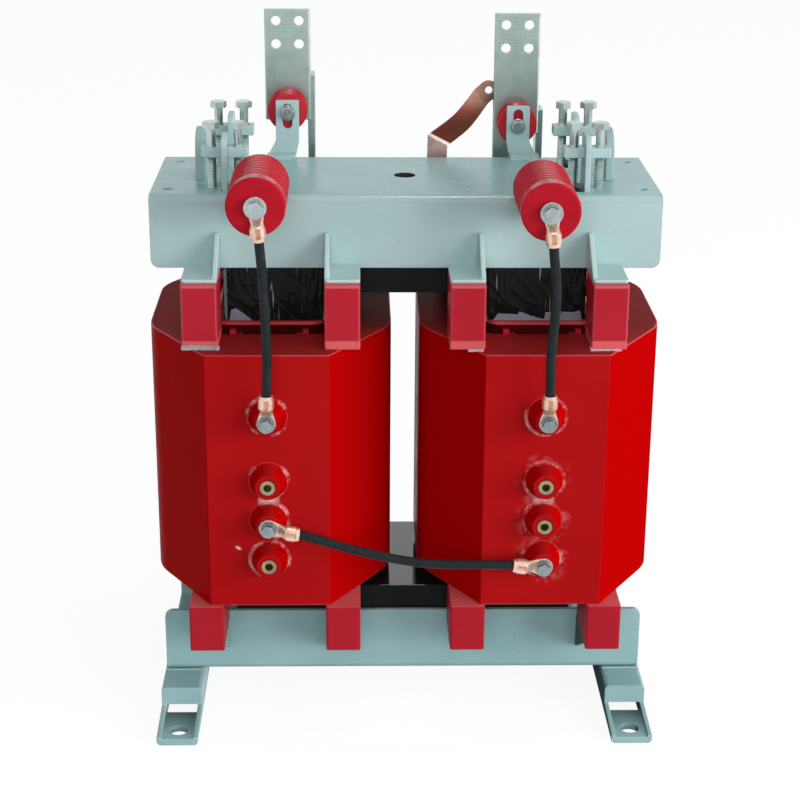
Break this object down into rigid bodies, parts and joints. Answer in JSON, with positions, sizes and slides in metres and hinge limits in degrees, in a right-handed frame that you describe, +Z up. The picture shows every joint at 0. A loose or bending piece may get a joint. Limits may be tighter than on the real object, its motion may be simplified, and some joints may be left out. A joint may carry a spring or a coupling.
{
  "type": "power transformer",
  "caption": "Dry-type power transformer: red cast-resin coils on a clamped steel core, with ribbed insulators, busbars, jumper cables and channel feet.",
  "frame": {"origin": "on the floor, in the middle of the four foot bolt holes", "axes": "+X along the yokes to the right seen from the terminal side, +Y from the terminal side to the busbar side, +Z up"},
  "size_m": [0.55, 0.4209, 0.748],
  "materials": {
    "frame_paint": "semi-gloss pale grey-green paint",
    "core_lacquer": "black lacquer over laminated steel",
    "coil_resin": "glossy red cast resin",
    "block_resin": "satin pinkish-red moulded resin",
    "insulator_resin": "glossy red moulded resin",
    "pad_silicone": "matt salmon-red silicone",
    "board": "pale grey insulating board",
    "insert_brass": "dull brass",
    "zinc_steel": "zinc-plated steel",
    "busbar_metal": "tinned, dull grey",
    "copper": "bare copper",
    "cable_rubber": "black cable sheath"
  },
  "bodies": {
    "root": {"left_foot": "frame_paint", "right_foot": "frame_paint", "lower_clamp": "frame_paint", "lower_brackets": "frame_paint", "upper_clamp": "frame_paint", "upper_brackets": "frame_paint", "tie_plates": "frame_paint", "cross_bars": "frame_paint", "lifting_eyes": "frame_paint", "front_straps": "frame_paint", "rear_straps": "frame_paint", "lower_yoke": "core_lacquer", "upper_yoke": "core_lacquer", "left_limb": "core_lacquer", "right_limb": "core_lacquer", "left_lv_coil": "coil_resin", "right_lv_coil": "coil_resin", "left_hv_coil": "coil_resin", "right_hv_coil": "coil_resin", "left_lower_blocks": "block_resin", "right_lower_blocks": "block_resin", "left_upper_blocks": "block_resin", "right_upper_blocks": "block_resin", "left_front_insulator": "insulator_resin", "right_front_insulator": "insulator_resin", "left_rear_insulator": "insulator_resin", "right_rear_insulator": "insulator_resin", "yoke_boards": "board", "block_pads": "pad_silicone", "left_inserts": "insert_brass", "right_inserts": "insert_brass", "jack_bolts": "zinc_steel", "terminal_bolts": "zinc_steel", "strap_bolts": "zinc_steel", "left_busbar": "busbar_metal", "right_busbar": "busbar_metal", "busbar_leads": "busbar_metal", "copper_strap": "copper", "left_drop_lugs": "copper", "right_drop_lugs": "copper", "link_lugs": "copper", "left_drop_cable": "cable_rubber", "right_drop_cable": "cable_rubber", "link_cable": "cable_rubber"}
  },
  "joints": []
}
